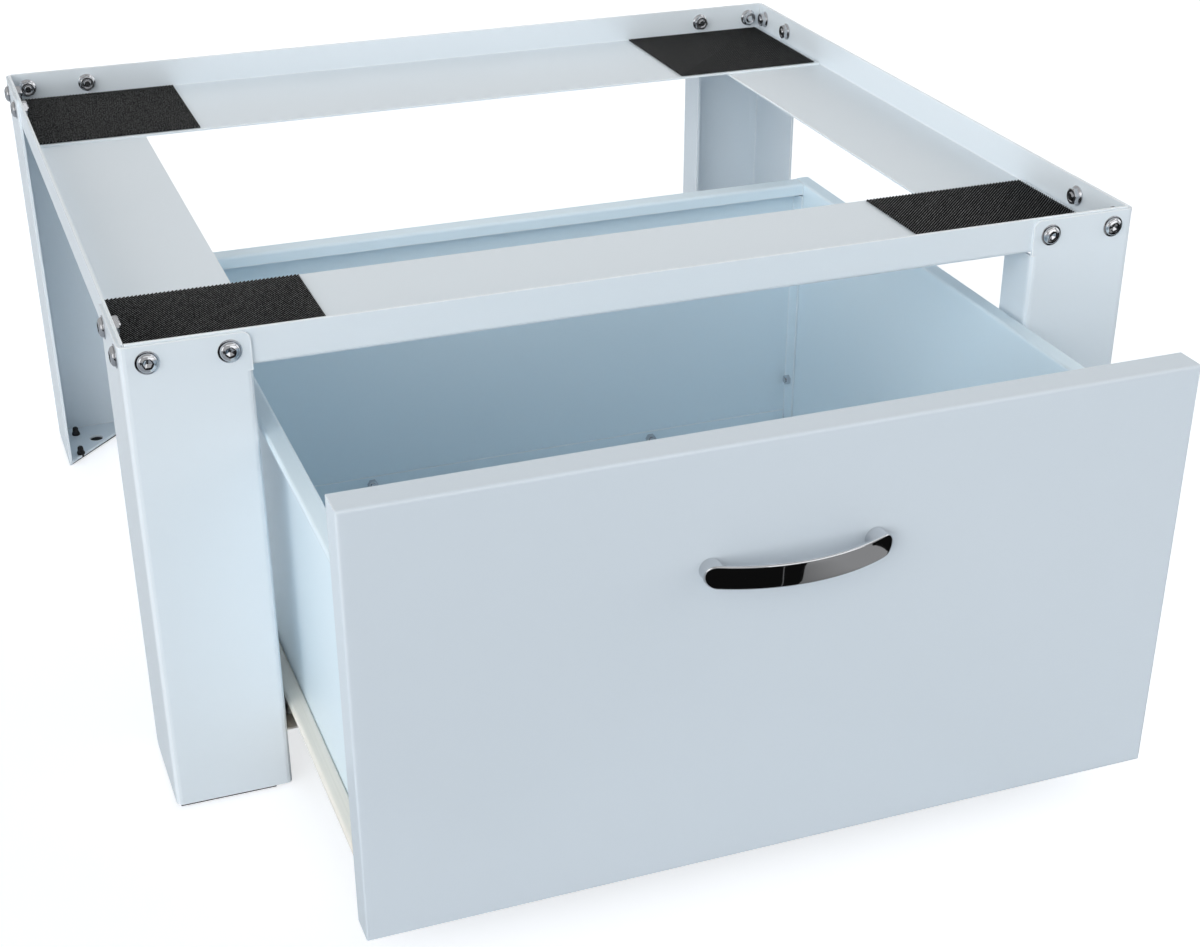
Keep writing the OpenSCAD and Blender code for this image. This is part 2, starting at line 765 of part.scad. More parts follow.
module bar_screws() {
    color(zinc) placed() at_bar_screws(opening_x) countersunk_screw(leg_t + bar_t + small_nut_h + 1.5);
}
module bar_nuts() {
    color(zinc) placed() at_bar_screws(opening_x + leg_t + bar_t) rotate([180, 0, 0]) small_nut();
}
module left_fixed_runner() { color(cream) placed() fixed_runner(); }
module right_fixed_runner() { color(cream) placed() other_side(true) fixed_runner(); }
module fixed_runner_screws() {
    color(zinc) placed() both_sides() for (y = fixed_screw_y)
        translate([-wall_x + runner_t, runner_front + y, rear_roller_z]) rotate([0, 90, 0])
            pan_screw(runner_t + bar_t + 5, 1.7);
}
module front_axles() {
    color(zinc) placed() both_sides()
        translate([-wall_x + runner_t, front_roller_y, front_roller_z])
            axle(runner_t, wall_x - runner_t - roller_x - roller_w);
}
module front_roller(flip) {
    color(nylon) placed() other_side(flip)
        translate([-roller_x - roller_w, front_roller_y, front_roller_z]) roller();
}
module front_roller_left() { front_roller(false); }
module front_roller_right() { front_roller(true); }
module drawer_front() { color(paint) placed() drawer_front_shape(); }
module drawer_front_lining() { color(paint) placed() lining_shape(); }
module drawer_left_side() { color(paint) placed() side_shape(); }
module drawer_right_side() { color(paint) placed() other_side(true) side_shape(); }
module drawer_back() { color(paint) placed() back_shape(); }
module drawer_floor() { color(paint) placed() floor_shape(); }

// The drawer's screws, each place with +Z pointing to the screw's head
module at_back_screws() {
    both_sides() for (z = back_screw_z)
        translate([-side_x, back_screw_y, z]) rotate([0, -90, 0]) children();
}
module at_floor_rear_screws() {
    for (x = [-1, 1]) translate([x * floor_screw_x, back_y, floor_screw_z]) rotate([-90, 0, 0]) children();
}
module at_floor_front_screws() {
    for (x = [-1, 1])
        translate([x * floor_screw_x, lining_y + box_t, floor_screw_z]) rotate([-90, 0, 0]) children();
}
module drawer_screws() {
    grip = 2 * box_t;
    color(zinc) placed() {
        at_back_screws() pan_screw(grip + 0.2 + small_nut_h + 1);
        at_floor_rear_screws() pan_screw(grip + small_nut_h + 1);
        at_floor_front_screws() pan_screw(grip + small_nut_h);
        at_front_screws() translate([0, 0, box_t]) pan_screw(grip + small_nut_h);
    }
}
module drawer_nuts() {
    color(zinc) placed() {
        at_back_screws() translate([0, 0, -2 * box_t - 0.2]) rotate([180, 0, 0]) small_nut();
        at_floor_rear_screws() translate([0, 0, -2 * box_t]) rotate([180, 0, 0]) small_nut();
        at_floor_front_screws() translate([0, 0, -2 * box_t]) rotate([180, 0, 0]) small_nut();
        at_front_screws() translate([0, 0, -box_t]) rotate([180, 0, 0]) small_nut();
    }
}
module left_drawer_runner() { color(cream) placed() drawer_runner(); }
module right_drawer_runner() { color(cream) placed() other_side(true) drawer_runner(); }
module drawer_runner_screws() {
    color(zinc) placed() both_sides() for (y = runner_screw_y)
        translate([-runner_screw_x, drawer_runner_y + y, box_z - runner_t]) rotate([180, 0, 0])
            pan_screw(runner_t + 2 * box_t + 2);
}
module rear_axles() {
    color(zinc) placed() both_sides()
        translate([-web_x, rear_roller_y, rear_roller_z]) mirror([1, 0, 0]) axle(runner_t, roller_x - web_x);
}
module rear_roller(flip) {
    color(nylon) placed() other_side(flip)
        translate([-roller_x, rear_roller_y, rear_roller_z]) mirror([1, 0, 0]) roller();
}
module rear_roller_left() { rear_roller(false); }
module rear_roller_right() { rear_roller(true); }
module handle() { color(zinc) placed() handle_shape(); }
module handle_screws() {
    color(zinc) placed() both_sides()
        translate([-handle_pitch / 2, front_y + front_sheet, handle_z]) rotate([-90, 0, 0])
            pan_screw(handle_screw_l);
}

front_rail();
rear_rail();
left_rail();
right_rail();
leg_front_left();
leg_front_right();
leg_rear_left();
leg_rear_right();
foot_pad_front_left();
foot_pad_front_right();
foot_pad_rear_left();
foot_pad_rear_right();
top_pad_front_left();
top_pad_front_right();
top_pad_rear_left();
top_pad_rear_right();
leg_screws();
leg_nuts();
left_support_bar();
right_support_bar();
bar_screws();
bar_nuts();
left_fixed_runner();
right_fixed_runner();
fixed_runner_screws();
front_axles();
front_roller_left();
front_roller_right();
drawer_front();
drawer_front_lining();
drawer_left_side();
drawer_right_side();
drawer_back();
drawer_floor();
drawer_screws();
drawer_nuts();
left_drawer_runner();
right_drawer_runner();
drawer_runner_screws();
rear_axles();
rear_roller_left();
rear_roller_right();
handle();
handle_screws();
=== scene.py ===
"""Washing machine stand with a drawer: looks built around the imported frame.

Metres throughout, +X right, +Y to the back, +Z up, the floor at z = 0.
"""

import math

import bpy
import numpy as np
from mathutils import Matrix, Vector


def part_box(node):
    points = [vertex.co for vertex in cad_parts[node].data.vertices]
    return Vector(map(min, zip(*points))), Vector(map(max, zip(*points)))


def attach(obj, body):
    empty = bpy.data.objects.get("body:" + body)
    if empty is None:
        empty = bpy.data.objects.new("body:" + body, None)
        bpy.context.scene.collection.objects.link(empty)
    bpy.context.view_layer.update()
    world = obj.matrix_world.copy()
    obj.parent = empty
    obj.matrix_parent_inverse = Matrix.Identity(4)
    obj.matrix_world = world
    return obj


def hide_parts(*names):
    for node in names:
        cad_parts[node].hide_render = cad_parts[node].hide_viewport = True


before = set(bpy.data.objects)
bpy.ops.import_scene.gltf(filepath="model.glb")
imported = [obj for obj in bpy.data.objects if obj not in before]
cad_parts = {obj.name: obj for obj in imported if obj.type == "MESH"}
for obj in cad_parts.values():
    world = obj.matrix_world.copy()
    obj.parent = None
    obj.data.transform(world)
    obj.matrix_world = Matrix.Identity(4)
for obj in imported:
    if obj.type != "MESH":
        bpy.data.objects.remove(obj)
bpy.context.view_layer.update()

MM = 0.001

# ---------------------------------------------------------------- camera
PHOTO_WIDTH, PHOTO_HEIGHT = 1200, 947
CAMERA_AT = (-0.41485, -1.18164, 0.71748)
CAMERA_PITCH, CAMERA_YAW, CAMERA_ROLL = -0.5184, 0.3565, -0.0020
FOCAL_PIXELS = 1984.17
IMAGE_CENTRE = (600.29, 574.89)


def make_camera():
    """Camera that looks along the photograph's direction, with its focal length and image centre."""
    data = bpy.data.cameras.new("photo_camera")
    data.sensor_width = 36.0
    data.lens = FOCAL_PIXELS / PHOTO_WIDTH * data.sensor_width
    data.shift_x = -(IMAGE_CENTRE[0] - PHOTO_WIDTH / 2) / PHOTO_WIDTH
    data.shift_y = (IMAGE_CENTRE[1] - PHOTO_HEIGHT / 2) / PHOTO_WIDTH
    data.clip_start, data.clip_end = 0.05, 50.0
    ahead = Vector((math.sin(CAMERA_YAW) * math.cos(CAMERA_PITCH),
                    math.cos(CAMERA_YAW) * math.cos(CAMERA_PITCH), math.sin(CAMERA_PITCH)))
    right = Vector((math.cos(CAMERA_YAW), -math.sin(CAMERA_YAW), 0.0))
    up = right.cross(ahead)
    c, s = math.cos(CAMERA_ROLL), math.sin(CAMERA_ROLL)
    right, up = c * right + s * up, c * up - s * right
    camera = bpy.data.objects.new("photo_camera", data)
    camera.matrix_world = Matrix((
        (right.x, up.x, -ahead.x, CAMERA_AT[0]),
        (right.y, up.y, -ahead.y, CAMERA_AT[1]),
        (right.z, up.z, -ahead.z, CAMERA_AT[2]),
        (0, 0, 0, 1)))
    bpy.context.scene.collection.objects.link(camera)
    bpy.context.scene.camera = camera


make_camera()


# ---------------------------------------------------------------- node helpers
def new_material(name):
    """Empty node material with its output node."""
    material = bpy.data.materials.new(name)
    material.use_nodes = True
    material.node_tree.nodes.clear()
    output = material.node_tree.nodes.new("ShaderNodeOutputMaterial")
    return material, material.node_tree, output


def add(tree, kind, **settings):
    """Adds a node with its own settings."""
    made = tree.nodes.new(kind)
    for key, value in settings.items():
        setattr(made, key, value)
    return made


def feed(tree, value, socket):
    """Gives an input its value: a number, a colour or direction of three numbers, or an output joined to it."""
    if isinstance(value, bpy.types.NodeSocket):
        tree.links.new(value, socket)
    elif socket.type == "RGBA":
        socket.default_value = (*value, 1)
    else:
        socket.default_value = value


def fill(tree, node, **values):
    """Feeds a node's inputs by name, where an underscore stands for a space, and returns its outputs."""
    for key, value in values.items():
        feed(tree, value, node.inputs[key.replace("_", " ")])
    return node.outputs


def math_node(tree, operation, *values):
    """Result of a math node fed with the values in order."""
    made = add(tree, "ShaderNodeMath", operation=operation)
    for value, socket in zip(values, made.inputs):
        feed(tree, value, socket)
    return made.outputs[0]


def vector_node(tree, operation, output, first, second):
    """One output of a vector math node fed with two vectors."""
    made = add(tree, "ShaderNodeVectorMath", operation=operation)
    feed(tree, first, made.inputs[0])
    feed(tree, second, made.inputs[1])
    return made.outputs[output]


def map_range(tree, value, start, stop, low=0.0, high=1.0, kind="LINEAR"):
    """A value taken from start...stop to low...high, and kept between them."""
    made = add(tree, "ShaderNodeMapRange", interpolation_type=kind)
    return fill(tree, made, Value=value, From_Min=start, From_Max=stop, To_Min=low, To_Max=high)[0]


def noise(tree, place, scale, detail, roughness=0.5):
    """Noise over a place."""
    made = tree.nodes.new("ShaderNodeTexNoise")
    return fill(tree, made, Vector=place, Scale=scale, Detail=detail, Roughness=roughness)["Fac"]


def object_place(tree):
    """Object coordinates."""
    return tree.nodes.new("ShaderNodeTexCoord").outputs["Object"]


def mixed(tree, factor, first, second):
    """Colour between two: first where the factor is 0, second where it is 1."""
    return fill(tree, add(tree, "ShaderNodeMix", data_type="RGBA"), Factor=factor, A=first, B=second)["Result"]


def bump(tree, height, strength, distance):
    """Normal tilted by a height."""
    return fill(tree, tree.nodes.new("ShaderNodeBump"), Strength=strength, Distance=distance, Height=height)["Normal"]


def principled(tree, output, **values):
    """The material's shader with its inputs by name."""
    shader = tree.nodes.new("ShaderNodeBsdfPrincipled")
    feed(tree, fill(tree, shader, **values)[0], output.inputs[0])


def new_group(name, inputs, outputs):
    """Shader node group whose sockets are numbers: inputs by name with their defaults, and names of outputs."""
    group = bpy.data.node_groups.new(name, "ShaderNodeTree")
    for label, default in inputs.items():
        group.interface.new_socket(label, in_out="INPUT", socket_type="NodeSocketFloat").default_value = default
    for label in outputs:
        group.interface.new_socket(label, in_out="OUTPUT", socket_type="NodeSocketFloat")
    given = group.nodes.new("NodeGroupInput").outputs
    return group, given, group.nodes.new("NodeGroupOutput")


def place_group(tree, group, **values):
    """Outputs of a node group placed in a material with its own input values."""
    return fill(tree, add(tree, "ShaderNodeGroup", node_tree=group), **values)


# ---------------------------------------------------------------- shared effects
HALF_ROOT = math.sqrt(0.5)
RIB_PITCH = 1.68 * MM
KNOT_PITCH = 2.3 * MM


def powder_skin_group():
    """Powder coat skin: fine pebbles over slow waves give a height, and soft clouds a roughness and a tone."""
    group, given, end = new_group(
        "powder_coat_skin",
        {"Pebble Scale": 900.0, "Wave Scale": 60.0, "Cloud Scale": 7.0, "Roughness Low": 0.3, "Roughness High": 0.45},
        ["Height", "Roughness", "Tone"])
    place = object_place(group)
    pebble = noise(group, place, given["Pebble Scale"], 2.0, 0.45)
    wave = noise(group, place, given["Wave Scale"], 3.0)
    cloud = noise(group, place, given["Cloud Scale"], 3.0, 0.55)
    height = math_node(group, "MULTIPLY_ADD", wave, 1.6, pebble)
    rough = map_range(group, cloud, 0.1, 0.9, given["Roughness Low"], given["Roughness High"], "SMOOTHSTEP")
    fill(group, end, Height=height, Roughness=rough, Tone=cloud)
    return group


def thin_edge_group():
    """Mask of sharp edges: one less the agreement of the surface's normal with a normal rounded over Width."""
    group, given, end = new_group("thin_edge", {"Width": 0.8 * MM}, ["Edge"])
    rounded = fill(group, add(group, "ShaderNodeBevel", samples=6), Radius=given["Width"])["Normal"]
    plain = group.nodes.new("ShaderNodeNewGeometry").outputs["Normal"]
    agree = vector_node(group, "DOT_PRODUCT", "Value", rounded, plain)
    fill(group, end, Edge=map_range(group, agree, 0.995, 0.88))
    return group


def long_marks_group():
    """Marks along Y, such as rolling or drawing leaves: noise stretched along Y, sharpened to thin streaks."""
    group, given, end = new_group("long_marks", {"Across": 400.0, "Along": 4.0, "Cover": 0.4}, ["Mark"])
    stretch = fill(group, group.nodes.new("ShaderNodeCombineXYZ"),
                   X=given["Across"], Y=given["Along"], Z=given["Across"])[0]
    grain = noise(group, vector_node(group, "MULTIPLY", "Vector", object_place(group), stretch), 1.0, 3.0, 0.6)
    keep = math_node(group, "SUBTRACT", 0.85, given["Cover"])
    fill(group, end, Mark=map_range(group, grain, keep, 0.8))
    return group


def diagonal_ribs_group():
    """Ribs along the diagonal of X and Y: a sine across them, cut by a longer sine along them like a cord."""
    group, given, end = new_group("diagonal_ribs", {"Pitch": RIB_PITCH, "Knot": KNOT_PITCH}, ["Ridge"])
    place = object_place(group)
    waves = []
    for label, direction in (("Pitch", (HALF_ROOT, -HALF_ROOT, 0.0)), ("Knot", (HALF_ROOT, HALF_ROOT, 0.0))):
        along = vector_node(group, "DOT_PRODUCT", "Value", place, direction)
        turns = math_node(group, "DIVIDE", along, given[label])
        waves.append(math_node(group, "SINE", math_node(group, "MULTIPLY", turns, 2 * math.pi)))
    ridge = map_range(group, waves[0], 0.3, 1.0)
    knot = map_range(group, waves[1], -1.0, 1.0, 0.7, 1.0)
    fill(group, end, Ridge=math_node(group, "MULTIPLY", ridge, knot))
    return group


SKIN = powder_skin_group()
EDGE = thin_edge_group()
MARKS = long_marks_group()
RIBS = diagonal_ribs_group()


# ---------------------------------------------------------------- materials
def powder_coat(name, colour, shade, bright, low, high, strength, marks=0.0):
    """Powder coat on sheet steel: cloudy tone, orange peel skin, a painted highlight along thin edges, and faint marks
    along Y.
    Below a roughness of 0.28 the clouds render with faint outlines, so low stays above it."""
    material, tree, output = new_material(name)
    skin = place_group(tree, SKIN, Roughness_Low=low, Roughness_High=high)
    edge = place_group(tree, EDGE, Width=1.3 * MM)["Edge"]
    body, rough = mixed(tree, skin["Tone"], colour, shade), skin["Roughness"]
    if marks:
        mark = place_group(tree, MARKS, Across=900.0, Along=6.0, Cover=0.36)["Mark"]
        weight = math_node(tree, "MULTIPLY", mark, marks)
        body = mixed(tree, weight, body, tuple(0.72 * value for value in colour))
        rough = math_node(tree, "MULTIPLY_ADD", mark, -0.12, rough)
    principled(tree, output, IOR=1.5, Coat_Roughness=0.2, Roughness=rough,
               # Painted highlight: along thin edges the base colour turns to the lighter given colour.
               Base_Color=mixed(tree, math_node(tree, "MULTIPLY", edge, 0.9), body, bright),
               Coat_Weight=math_node(tree, "MULTIPLY_ADD", edge, 0.85, 0.15),
               Normal=bump(tree, skin["Height"], strength, 0.2 * MM))
    return material


def plated_metal(name, colour, dark, low, high, strength, scale, marks=0.3, painted_recess_shade=None):
    """Plated metal: clouds of two tones and roughnesses, streaks, a fine grain, and painted shade in its recesses."""
    material, tree, output = new_material(name)
    place = object_place(tree)
    cloud, grain = noise(tree, place, scale, 3.0), noise(tree, place, 9 * scale, 2.0)
    mark = place_group(tree, MARKS, Across=1500.0, Along=90.0, Cover=marks)["Mark"]
    rough = map_range(tree, cloud, 0.0, 1.0, low, high)
    body = mixed(tree, cloud, colour, dark)
    # Painted shade: where the recess attribute is high, the colour is darkened towards the given near-black colour.
    if painted_recess_shade:
        recess = add(tree, "ShaderNodeAttribute", attribute_name="recess").outputs["Fac"]
        body = mixed(tree, recess, body, painted_recess_shade)
    principled(tree, output, Metallic=1.0, Base_Color=body,
               Roughness=math_node(tree, "MULTIPLY_ADD", mark, 0.5 * (high - low), rough),
               Normal=bump(tree, grain, strength, 0.05 * MM))
    return material


def rubber(name, colour, light, low, high, scale, strength, ribs=False):
    """Matte rubber or nylon: dusty clouds and a pitted skin, and on a ribbed mat a painted highlight on the rib tops
    with painted shade between them.
    """
    material, tree, output = new_material(name)
    place = object_place(tree)
    cloud, pits = noise(tree, place, scale, 5.0, 0.6), noise(tree, place, 12 * scale, 2.0)
    factor, height = map_range(tree, cloud, 0.45, 0.75), pits
    if ribs:
        # Painted light: rib tops take the lighter colour as a painted highlight, and the hollows between them stay near
        # black as painted shade.
        ridge = place_group(tree, RIBS)["Ridge"]
        factor = math_node(tree, "MULTIPLY", map_range(tree, pits, 0.35, 0.65, 0.35, 1.3), ridge)
        height = math_node(tree, "MULTIPLY_ADD", pits, 0.12, ridge)
    principled(tree, output, Specular_IOR_Level=0.05 if ribs else 0.3,
               Base_Color=mixed(tree, factor, colour, light),
               Roughness=map_range(tree, cloud, 0.0, 1.0, low, high),
               Normal=bump(tree, height, strength, (0.2 if ribs else 0.1) * MM))
    return material


# Each coat's third colour is its painted highlight along thin edges.
STAND_COAT = powder_coat("stand_powder_coat", (0.735, 0.80, 0.852), (0.715, 0.785, 0.838), (0.95, 0.97, 0.98),
                         0.285, 0.38, 0.10)
# The drawer box is the stand's paint, made bluer and lighter as painted fill light for its shaded inside.
BOX_COAT_PAINTED_FILL = powder_coat("drawer_box_coat_painted_fill", (0.74, 0.87, 0.95), (0.72, 0.855, 0.94), (0.92, 0.96, 0.98),
                       0.285, 0.38, 0.10)
# The drawer front is the stand's paint, made darker as painted shade for the less lit drawer front.
FRONT_COAT_PAINTED_SHADE = powder_coat("drawer_front_coat_painted_shade", (0.64, 0.71, 0.775), (0.62, 0.695, 0.76), (0.90, 0.93, 0.95),
                         0.285, 0.39, 0.10)
CREAM_COAT = powder_coat("cream_runner_coat", (0.89, 0.85, 0.77), (0.85, 0.81, 0.73), (0.95, 0.93, 0.89),
                         0.34, 0.46, 0.12, marks=0.35)
ZINC = plated_metal("bright_zinc", (0.70, 0.71, 0.73), (0.52, 0.53, 0.56), 0.14, 0.28, 0.05, 160.0)
# Screw plating with near-black painted shade in the screw's thread, groove and socket, and under its collar.
SCREW_PLATING = plated_metal("screw_plating", (0.74, 0.75, 0.77), (0.50, 0.51, 0.54), 0.08, 0.16, 0.04, 160.0,
                             painted_recess_shade=(0.02, 0.02, 0.022))
CHROME = plated_metal("polished_chrome", (0.66, 0.67, 0.69), (0.62, 0.63, 0.65), 0.03, 0.05, 0.01, 40.0, 0.2)
# Near-black pad rubber whose rib tops get a painted highlight and whose hollows get painted shade.
PAD_RUBBER = rubber("ribbed_pad_rubber", (0.0015, 0.0015, 0.002), (0.21, 0.215, 0.217), 0.80, 0.95,
                    60.0, 1.0, ribs=True)
FOOT_RUBBER = rubber("foot_rubber", (0.014, 0.014, 0.015), (0.03, 0.03, 0.032), 0.55, 0.75, 90.0, 0.3)
NYLON = rubber("grey_nylon", (0.30, 0.31, 0.31), (0.36, 0.37, 0.37), 0.35, 0.50, 120.0, 0.1)


# ---------------------------------------------------------------- CAD nodes that stay
def finish_cad(name, material, edge):
    """A CAD node that stays: welded, its flats merged, its edges rounded by edge, and its material set."""
    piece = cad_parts[name]
    piece.data.materials.clear()
    piece.data.materials.append(material)
    weld = piece.modifiers.new("weld", "WELD")
    weld.merge_threshold = 0.01 * MM
    flats = piece.modifiers.new("flats", "DECIMATE")
    flats.decimate_type = "DISSOLVE"
    flats.angle_limit = math.radians(1.0)
    if edge:
        soft = piece.modifiers.new("edges", "BEVEL")
        soft.width = edge
        soft.segments = 2
        soft.limit_method = "ANGLE"
        soft.angle_limit = math.radians(50.0)
        soft.use_clamp_overlap = True


STAND_SHEETS = [
    "front_rail", "rear_rail", "left_rail", "right_rail",
    "leg_front_left", "leg_front_right", "leg_rear_left", "leg_rear_right",
    "left_support_bar", "right_support_bar"]
BOX_SHEETS = ["drawer_left_side", "drawer_right_side", "drawer_back", "drawer_floor"]
FRONT_SHEETS = ["drawer_front", "drawer_front_lining"]
RUNNER_NODES = ["left_fixed_runner", "right_fixed_runner", "left_drawer_runner", "right_drawer_runner"]
ROLLER_NODES = ["front_roller_left", "front_roller_right", "rear_roller_left", "rear_roller_right"]
FASTENER_NODES = ["bar_screws", "bar_nuts", "fixed_runner_screws", "front_axles", "drawer_screws",
                  "drawer_nuts", "drawer_runner_screws", "rear_axles", "handle_screws"]
FOOT_NODES = ["foot_pad_front_left", "foot_pad_front_right", "foot_pad_rear_left", "foot_pad_rear_right"]
TOP_PAD_NODES = ["top_pad_front_left", "top_pad_front_right", "top_pad_rear_left", "top_pad_rear_right"]

for nodes, finish, rounding in (
        (STAND_SHEETS, STAND_COAT, 0.3 * MM), (BOX_SHEETS, BOX_COAT_PAINTED_FILL, 0.3 * MM), (FRONT_SHEETS, FRONT_COAT_PAINTED_SHADE, 0.3 * MM),
        (RUNNER_NODES, CREAM_COAT, 0.2 * MM), (FASTENER_NODES, ZINC, 0), (FOOT_NODES, FOOT_RUBBER, 0)):
    for node in nodes:
        finish_cad(node, finish, rounding)


# ---------------------------------------------------------------- surfaces from grids of points
def grid_quads(rows, columns, joined_rows=False):
    """Quads between neighbours of a grid of points whose columns run all the way round."""
    row = np.arange(rows if joined_rows else rows - 1)[:, None]
    column = np.arange(columns)[None, :]
    after, beside = (row + 1) % rows, (column + 1) % columns
    corners = (row * columns + column, row * columns + beside, after * columns + beside, after * columns + column)
    return np.stack([np.broadcast_to(c, (row.size, columns)) for c in corners], axis=-1).reshape(-1, 4)


def outward(points, quads):
    """The quads turned so that the sum of their cones' volumes from the middle is above zero."""
    p = points[quads] - points.mean(axis=0)
    twice = np.einsum("ij,ij->i", np.cross(p[:, 0], p[:, 1]), p[:, 2])
    twice += np.einsum("ij,ij->i", np.cross(p[:, 0], p[:, 2]), p[:, 3])
    return quads if twice.sum() > 0 else quads[:, ::-1]


def make_piece(name, surfaces, material, body, nodes, crease=35.0, recess=None):
    """One mesh of closed surfaces (points, quads): equal points are joined, flat quads become triangles.
    The share of painted shade in a recess, one value for each point of a surface, becomes the attribute recess."""
    points, quads, count = [], [], 0
    for some, faces in surfaces:
        points.append(some)
        quads.append(outward(some, faces) + count)
        count += len(some)
    points, quads = np.concatenate(points), np.concatenate(quads)
    _, first, which = np.unique(np.round(points, 7), axis=0, return_index=True, return_inverse=True)
    quads = which.reshape(-1)[quads]
    twin = quads == np.roll(quads, -1, axis=1)
    full, folded = quads[~twin.any(axis=1)], quads[twin.sum(axis=1) == 1]
    place = np.argmax(folded == np.roll(folded, -1, axis=1), axis=1)
    order = (place[:, None] + np.arange(1, 4)[None, :]) % 4
    corners = np.take_along_axis(folded, order, axis=1)
    mesh = bpy.data.meshes.new(name)
    mesh.from_pydata(points[first].tolist(), [], full.tolist() + corners.tolist())
    mesh.polygons.foreach_set("use_smooth", np.ones(len(mesh.polygons), dtype=bool))
    mesh.set_sharp_from_angle(angle=math.radians(crease))
    mesh.materials.append(material)
    if recess is not None:
        share = np.tile(recess, len(surfaces))[first].astype(np.float32)
        mesh.attributes.new("recess", "FLOAT", "POINT").data.foreach_set("value", share)
    piece = bpy.data.objects.new(name, mesh)
    bpy.context.scene.collection.objects.link(piece)
    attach(piece, body)
    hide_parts(*nodes)


def full_circle(around):
    """Angles of points all the way round."""
    return np.arange(around) * 2 * math.pi / around


def six_sided(angle):
    """Radius of a hexagon over its inner radius at each angle: one over the cosine to the nearest flat."""
    return 1 / np.cos(angle % (math.pi / 3) - math.pi / 6)


def turned_rings(radius, along, angle):
    """Rings about Z: the point of ring i at angle a is (radius cos a, radius sin a, along of ring i)."""
    return np.stack([radius * np.cos(angle), radius * np.sin(angle),
                     np.broadcast_to(along[:, None], radius.shape)], axis=-1)


def arc_rows(centre, radius, start, stop, count):
    """Rows (radius, height) on an arc about a centre, between two angles in degrees."""
    angle = np.radians(np.linspace(start, stop, count))
    return [(centre[0] + radius[0] * c, centre[1] + radius[1] * s) for c, s in zip(np.cos(angle), np.sin(angle))]


def repeat_at(points, quads, places):
    """The surface copied to each place: a point goes to origin + x side + y up + z out, each spun on from the last."""
    made = []
    for number, (origin, side, out) in enumerate(places):
        side, out = np.array(side, float), np.array(out, float)
        up = np.cross(out, side)
        spin = SPIN_STEP * number
        across = side * math.cos(spin) + up * math.sin(spin)
        axes = np.stack([across, np.cross(out, across), out])
        made.append((points @ axes + np.array(origin), quads))
    return made


def stand_corners():
    """The four corners of the legs with the signs of X and Y."""
    low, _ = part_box("leg_front_left")
    _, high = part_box("leg_rear_right")
    return [((low[0], high[0])[i], (low[1], high[1])[j], (-1, 1)[i], (-1, 1)[j]) for i in (0, 1) for j in (0, 1)]


# ---------------------------------------------------------------- frame screws and nuts
AROUND_HEX, AROUND_WHEEL = 60, 72
SPIN_STEP = 2.4
SCREW_BELOW_RIM = 11 * MM
FACE_SCREWS = (14.5 * MM, 59 * MM)
SIDE_SCREWS = (15 * MM, 58 * MM)
LEG_SHEET, RAIL_SHEET = 2 * MM, 1.5 * MM


def frame_screw_places(depth):
    """The 16 screw places at a depth under the leg's skin, each (origin, side, outward)."""
    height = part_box("front_rail")[1][2] - SCREW_BELOW_RIM
    places = []
    for x, y, way_x, way_y in stand_corners():
        for inset in FACE_SCREWS:
            places.append(((x - way_x * inset, y - way_y * depth, height), (1, 0, 0), (0, way_y, 0)))
        for inset in SIDE_SCREWS:
            places.append(((x - way_x * depth, y - way_y * inset, height), (0, 1, 0), (way_x, 0, 0)))
    return places


def collar_screw():
    """Button screw turned about Z: chamfered threaded end, shank, collar, groove, dome, and a six sided socket.
    Each row is (radius in mm, height in mm, share of a hexagon in its shape, painted shade in a recess)."""
    angle = full_circle(AROUND_HEX)
    six = six_sided(angle)
    end, pitch = -9.1, 1.0
    thread = np.arange(end + 0.7, -3.4, pitch / 4)
    # The fourth value of each row is painted shade: darker in the thread, under the collar's rim, in the groove and in
    # the socket.
    rows = [(0, end, 0, 0), (2.2, end, 0, 0)]
    rows += [(2.87 + 0.13 * math.cos(2 * math.pi * z / pitch), z, 0, 0.2) for z in thread]
    rows += [(3.0, -3.2, 0, 0), (3.0, 0.0, 0, 0), (6.5, 0.0, 0, 0.6)]
    rows += [(r, z, 0, 0) for r, z in arc_rows((6.5, 0.3), (0.3, 0.3), -60, 90, 6)]
    rows += [(6.3, 0.62, 0, 0), (5.95, 0.72, 0, 0), (5.85, 0.72, 0, 0.8), (5.72, 0.75, 0, 0.8), (5.68, 0.9, 0, 0.2)]
    rows += [(r, z, 0, 0) for r, z in arc_rows((2.4, 0.9), (3.25, 2.3), 8, 72, 9)]
    rows += [(3.1, 3.22, 0.3, 0.2), (2.98, 3.2, 0.8, 0.9), (2.75, 3.1, 1, 1), (2.35, 2.75, 1, 1), (2.33, 2.1, 1, 0.9)]
    rows += [(2.27, 2.0, 1, 0.2), (2.15, 1.95, 1, 0), (1.2, 1.45, 0.5, 0), (0.5, 1.1, 0, 0), (0.4, 0.9, 0, 0.8)]
    rows += [(0, 0.85, 0, 0.9)]
    table = np.array(rows)
    radius = table[:, :1] * (1 + table[:, 2:3] * (six[None, :] - 1)) * MM
    points = turned_rings(radius, table[:, 1] * MM, angle).reshape(-1, 3)
    return points, grid_quads(len(rows), len(angle)), np.repeat(table[:, 3], len(angle))


